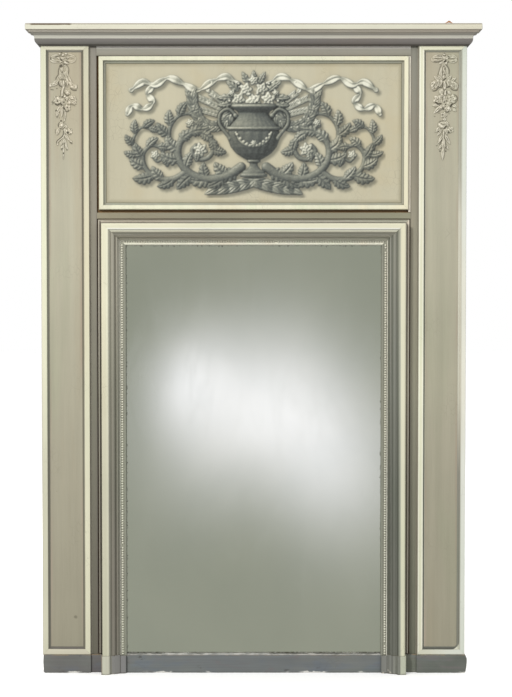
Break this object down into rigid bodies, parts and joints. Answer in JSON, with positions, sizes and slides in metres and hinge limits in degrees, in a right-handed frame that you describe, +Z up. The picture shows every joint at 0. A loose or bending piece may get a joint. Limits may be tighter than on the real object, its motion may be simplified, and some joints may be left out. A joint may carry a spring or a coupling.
{
  "type": "trumeau mirror",
  "caption": "Tall wall mirror in a joined and painted wooden surround: cornice on top, two pilasters with carved drops, a painted panel above and a beaded moulding round the glass.",
  "frame": {"origin": "middle of the underside: half way across the width and half way between the wall side and the foremost point of the cornice", "axes": "+Z up, the mirror faces -Y, the wall is on the +Y side, X runs across the width"},
  "size_m": [1.582, 0.095, 2.281],
  "materials": {
    "raw_pine": "bare, aged and dusty",
    "screw_steel": "dull old steel",
    "iron": "forged, browned",
    "cream_paint": "old cream distemper paint, worn on the edges",
    "panel_paint": "old beige-grey paint",
    "grey_paint": "old warm grey paint",
    "base_paint": "old slate grey paint",
    "moulding_paint": "cream band, grey hollows",
    "pearl_paint": "cream and grey paint",
    "cornice_paint": "cream fascia over grey mouldings",
    "painting": "painted in greys on a warm stone ground",
    "mirror_glass": "old silvering, slightly grey-green"
  },
  "bodies": {
    "root": {"back_batten_lower": "raw_pine", "back_batten_upper": "raw_pine", "backboard_left": "raw_pine", "backboard_middle": "raw_pine", "backboard_right": "raw_pine", "base_rail": "base_paint", "batten_screws": "screw_steel", "carcass_pegs": "raw_pine", "carcass_rail_bottom": "raw_pine", "carcass_rail_mid": "raw_pine", "carcass_rail_top": "raw_pine", "carcass_stile_left": "raw_pine", "carcass_stile_right": "raw_pine", "cornice_front": "cornice_paint", "cornice_glue_blocks": "raw_pine", "cornice_return_left": "cornice_paint", "cornice_return_right": "cornice_paint", "cornice_top_board": "cornice_paint", "face_rail_mid": "grey_paint", "face_rail_top": "grey_paint", "face_stile_left": "grey_paint", "face_stile_right": "grey_paint", "floral_drop_left": "panel_paint", "floral_drop_right": "panel_paint", "frame_foot_left": "moulding_paint", "frame_foot_right": "moulding_paint", "glass_keepers": "raw_pine", "hanging_plate_left": "iron", "hanging_plate_right": "iron", "hanging_screws": "screw_steel", "mirror_moulding_left": "moulding_paint", "mirror_moulding_right": "moulding_paint", "mirror_moulding_top": "moulding_paint", "mirror_plate": "mirror_glass", "painted_panel": "painting", "painting_bead_bottom": "cream_paint", "painting_bead_left": "cream_paint", "painting_bead_right": "cream_paint", "painting_bead_top": "cream_paint", "panel_battens": "raw_pine", "pearl_strip_left": "pearl_paint", "pearl_strip_right": "pearl_paint", "pearl_strip_top": "pearl_paint", "pilaster_bead_bottom_left": "cream_paint", "pilaster_bead_bottom_right": "cream_paint", "pilaster_bead_inner_left": "cream_paint", "pilaster_bead_inner_right": "cream_paint", "pilaster_bead_outer_left": "cream_paint", "pilaster_bead_outer_right": "cream_paint", "pilaster_bead_top_left": "cream_paint", "pilaster_bead_top_right": "cream_paint", "pilaster_panel_left": "panel_paint", "pilaster_panel_right": "panel_paint", "plinth_left": "base_paint", "plinth_right": "base_paint", "setting_blocks": "raw_pine", "sill_fillet": "pearl_paint", "stile_plinth_left": "base_paint", "stile_plinth_right": "base_paint"}
  },
  "joints": []
}
